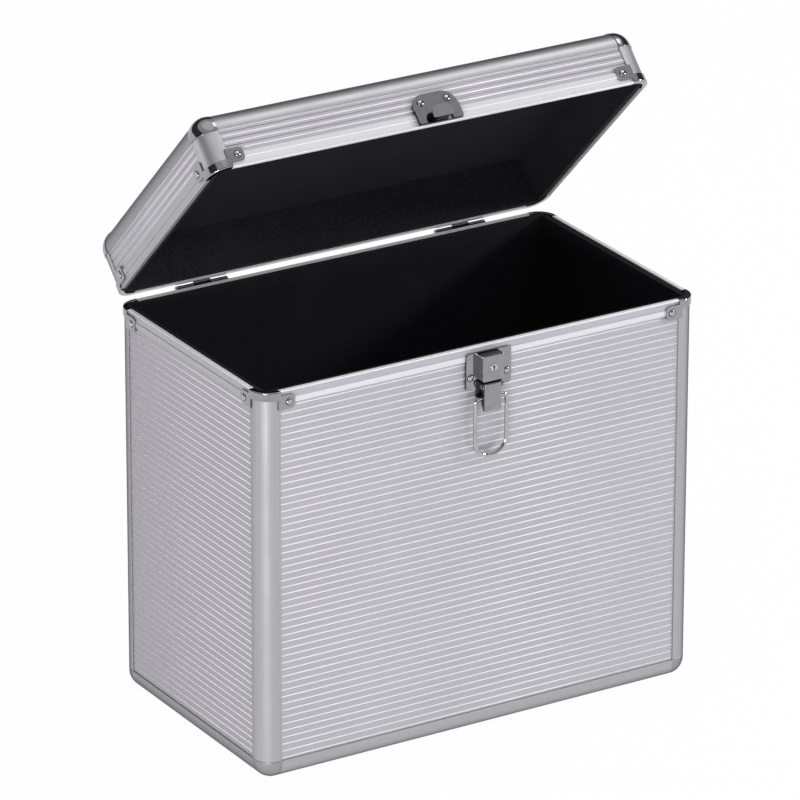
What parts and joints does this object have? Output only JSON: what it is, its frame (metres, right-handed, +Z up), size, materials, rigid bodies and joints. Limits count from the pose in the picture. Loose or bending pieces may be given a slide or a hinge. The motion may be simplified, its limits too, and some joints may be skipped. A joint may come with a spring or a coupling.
{
  "type": "record carrying case",
  "caption": "Ribbed silver carrying case for upright records, with a friction-hinged lid, riveted rim braces, a key toggle latch and a folding carrying handle.",
  "frame": {"origin": "centre of the footprint, on the floor face of the base", "axes": "+X to the right along the width, -Y towards the front with the latch, +Z up"},
  "size_m": [0.3684, 0.2431, 0.4734],
  "materials": {
    "panel_skin": "fibreboard faced with silver ribbed foil, satin",
    "edge_aluminium": "satin anodised",
    "rim_aluminium": "satin anodised, brighter bead",
    "chrome_hardware": "polished",
    "pressed_steel": "nickel plated, satin",
    "wire_steel": "nickel plated",
    "rivet_steel": "domed, nickel plated",
    "plug_brass": "polished, worn nickel over brass",
    "lining": "black felt-like lining",
    "grip_plastic": "matte, fine texture"
  },
  "bodies": {
    "base": {"base_bottom_corners": "edge_aluminium", "base_brace_rivets": "rivet_steel", "base_braces": "chrome_hardware", "base_corner_front_left": "edge_aluminium", "base_corner_front_right": "edge_aluminium", "base_corner_rear_left": "edge_aluminium", "base_corner_rear_right": "edge_aluminium", "base_edge_front": "edge_aluminium", "base_edge_left": "edge_aluminium", "base_edge_rear": "edge_aluminium", "base_edge_right": "edge_aluminium", "base_lining": "lining", "base_panel_bottom": "panel_skin", "base_panel_front": "panel_skin", "base_panel_left": "panel_skin", "base_panel_rear": "panel_skin", "base_panel_right": "panel_skin", "base_rim_front": "rim_aluminium", "base_rim_left": "rim_aluminium", "base_rim_rear": "rim_aluminium", "base_rim_right": "rim_aluminium", "hinge_base_rivets": "rivet_steel", "hinge_left_base_leaf": "pressed_steel", "hinge_pins": "wire_steel", "hinge_right_base_leaf": "pressed_steel", "latch_lever_pin": "wire_steel", "latch_lock_box": "pressed_steel", "latch_plate": "pressed_steel", "latch_rivets": "rivet_steel"},
    "lid": {"handle_brackets": "pressed_steel", "handle_pins": "wire_steel", "handle_rivets": "rivet_steel", "hinge_left_lid_leaf": "pressed_steel", "hinge_lid_rivets": "rivet_steel", "hinge_right_lid_leaf": "pressed_steel", "lid_brace_rivets": "rivet_steel", "lid_braces": "chrome_hardware", "lid_corner_profiles": "edge_aluminium", "lid_edge_front": "edge_aluminium", "lid_edge_left": "edge_aluminium", "lid_edge_rear": "edge_aluminium", "lid_edge_right": "edge_aluminium", "lid_keeper": "pressed_steel", "lid_keeper_rivets": "rivet_steel", "lid_lining": "lining", "lid_panel_front": "panel_skin", "lid_panel_left": "panel_skin", "lid_panel_rear": "panel_skin", "lid_panel_right": "panel_skin", "lid_panel_top": "panel_skin", "lid_rim_front": "rim_aluminium", "lid_rim_left": "rim_aluminium", "lid_rim_rear": "rim_aluminium", "lid_rim_right": "rim_aluminium", "lid_top_caps": "chrome_hardware"},
    "lever": {"latch_lever": "pressed_steel"},
    "bail": {"latch_bail": "wire_steel"},
    "key_plug": {"latch_key_plug": "plug_brass"},
    "grip": {"handle_grip": "grip_plastic"}
  },
  "joints": [
    {"name": "lid_hinge", "type": "hinge", "parent": "base", "child": "lid", "pos_m": [0, 0.1058, 0.2975], "axis": [-1, 0, 0], "range_deg": [-45, 55]},
    {"name": "lever_hinge", "type": "hinge", "parent": "base", "child": "lever", "pos_m": [0.004, -0.1072, 0.2705], "axis": [-1, 0, 0], "range_deg": [0, 100]},
    {"name": "bail_hinge", "type": "hinge", "parent": "lever", "child": "bail", "pos_m": [0.004, -0.1066, 0.2614], "axis": [1, 0, 0], "range_deg": [-179.5, 0]},
    {"name": "key_turn", "type": "hinge", "parent": "base", "child": "key_plug", "pos_m": [0.004, -0.1106, 0.2848], "axis": [0, -1, 0], "range_deg": [0, 90]},
    {"name": "handle_hinge", "type": "hinge", "parent": "lid", "child": "grip", "pos_m": [0, 0.07037, 0.4117], "axis": [1, 0, 0], "range_deg": [0, 180]}
  ]
}
